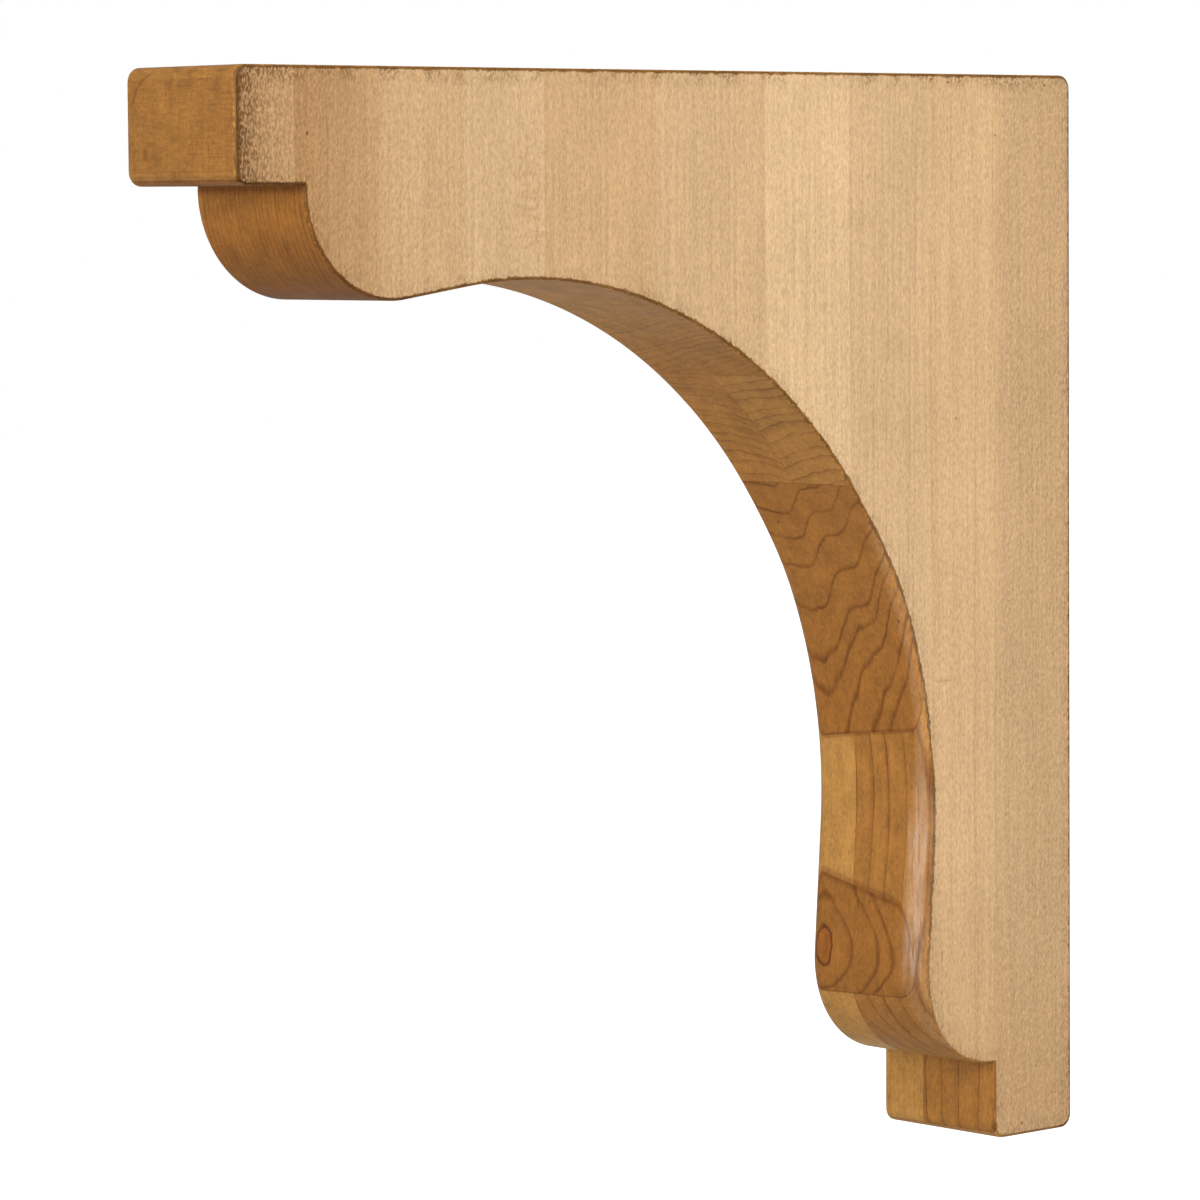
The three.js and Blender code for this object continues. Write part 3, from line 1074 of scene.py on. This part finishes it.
# %% Lacquer and relief
SATIN, GRAIN_ROUGHNESS, PATCH_ROUGHNESS = 0.46, 0.25, 0.2
SUNK_COAT, THICK_COAT = 0.04, 0.8
GRAIN_RELIEF, STREAK_RELIEF, PORE_RELIEF = 0.5, 0.8, 0.3
PEEL_SIZE, THIN_PEEL, THICK_PEEL = (1.0, 1.0, 1.5), 3.0, 12.0
ARM_PEEL, WALL_PEEL = (REACH - 130, REACH - 12), (32, 26)
RELIEF_DEPTH, RELIEF_STRENGTH = 0.08 * MM, 0.6
feed(tree, surface.inputs["Base Color"], colour)
surface.inputs["Specular IOR Level"].default_value = 0.12
roughness = calc(tree, "ADD", swing_about(tree, fibres["Grain"], GRAIN_ROUGHNESS), SATIN)
roughness = calc(tree, "ADD", roughness, swing_about(tree, patchy, PATCH_ROUGHNESS))
feed(tree, surface.inputs["Roughness"], roughness)
coat = mix_number(tree, both(fade(tree, polished, 0.0, 0.12), streaked), SUNK_COAT, THICK_COAT)
feed(tree, surface.inputs["Coat Weight"], coat)
surface.inputs["Coat Roughness"].default_value = 0.32
surface.inputs["Coat IOR"].default_value = 1.7
relief = calc(tree, "MULTIPLY", fibres["Grain"], GRAIN_RELIEF)
relief = calc(tree, "ADD", relief, calc(tree, "MULTIPLY", fibres["Streaks"], STREAK_RELIEF))
relief = calc(tree, "SUBTRACT", relief, calc(tree, "MULTIPLY", fibres["Pores"], PORE_RELIEF))
peel = noise(tree, place, PEEL_SIZE, 2, 0.5)
arm_peel = fade(tree, depth, *ARM_PEEL, THIN_PEEL, THICK_PEEL)
wall_peel = fade(tree, depth, *WALL_PEEL, 0.0, THICK_PEEL)
peel = both(peel, calc(tree, "MAXIMUM", arm_peel, wall_peel), on_side)
relief = calc(tree, "ADD", relief, peel)
bump = add_node(tree, "ShaderNodeBump")
feed(tree, bump.inputs["Height"], relief)
feed(tree, bump.inputs["Distance"], RELIEF_DEPTH)
feed(tree, bump.inputs["Strength"], RELIEF_STRENGTH)
feed(tree, surface.inputs["Normal"], bump.outputs[0])
bracket.data.materials.append(maple)
print("The maple has", len(tree.nodes), "nodes")

# %% [markdown]
# ## The studio
#
# The picture was taken in a white studio: a broad soft light from the side that the flat face looks
# to, a tall narrow one in front, and white all round. The floor and the world are plain white to
# the camera. To the wood they are dimmer, because real studio white is lit from behind.

# %% Floor and world
WHITE, BLACK, PAPER_GREY = (1, 1, 1, 1), (0, 0, 0, 1), (0.5, 0.5, 0.5, 1)
HALF_FLOOR, FLOOR_DROP, SKY_LIGHT = 8, 0.2, 0.42
bpy.context.scene.view_settings.view_transform = "Standard"
floor_mesh = bpy.data.meshes.new("floor")
floor_bm = bmesh.new()
bmesh.ops.create_grid(floor_bm, x_segments=1, y_segments=1, size=HALF_FLOOR)
bmesh.ops.translate(floor_bm, verts=floor_bm.verts, vec=(0, 0, bottom - FLOOR_DROP))
floor_bm.to_mesh(floor_mesh)
floor_bm.free()
floor = bpy.data.objects.new("floor", floor_mesh)
bpy.context.scene.collection.objects.link(floor)
paper = bpy.data.materials.new("white_paper")
paper.use_nodes = True
tree = paper.node_tree
sheet = tree.nodes["Principled BSDF"]
sheet.inputs["Base Color"].default_value = PAPER_GREY
sheet.inputs["Roughness"].default_value = 0.9
sheet.inputs["Emission Strength"].default_value = 1.0
seen = add_node(tree, "ShaderNodeLightPath").outputs["Is Camera Ray"]
feed(tree, sheet.inputs["Emission Color"], mix_colour(tree, seen, BLACK, WHITE))
floor_mesh.materials.append(paper)

world = bpy.data.worlds.new("studio")
world.use_nodes = True
tree = world.node_tree
sky = tree.nodes["Background"]
sky.inputs["Color"].default_value = WHITE
seen = add_node(tree, "ShaderNodeLightPath").outputs["Is Camera Ray"]
feed(tree, sky.inputs["Strength"], mix_number(tree, seen, SKY_LIGHT, 1.0))
bpy.context.scene.world = world
print("The floor lies", round(FLOOR_DROP / MM), "mm below the bracket")

# %% [markdown]
# Both lamps look at the middle of the bracket. Their sizes are in metres and their power in watts.

# %% Lights
LIT_PLACE = Vector((0, -0.1, 0))


def softbox(name, place, width, height, power):
    """A soft area light that looks at the lit place."""
    data = bpy.data.lights.new(name, "AREA")
    data.shape = "RECTANGLE"
    data.size, data.size_y = width, height
    data.energy = power
    lamp = bpy.data.objects.new(name, data)
    lamp.location = place
    lamp.rotation_euler = (LIT_PLACE - Vector(place)).to_track_quat("-Z", "Y").to_euler()
    bpy.context.scene.collection.objects.link(lamp)


softbox("side", place=(2.2, -0.5, 1.1), width=1.2, height=1.2, power=76)
softbox("front_strip", place=(-0.35, -2.1, 0.3), width=0.8, height=1.6, power=25)
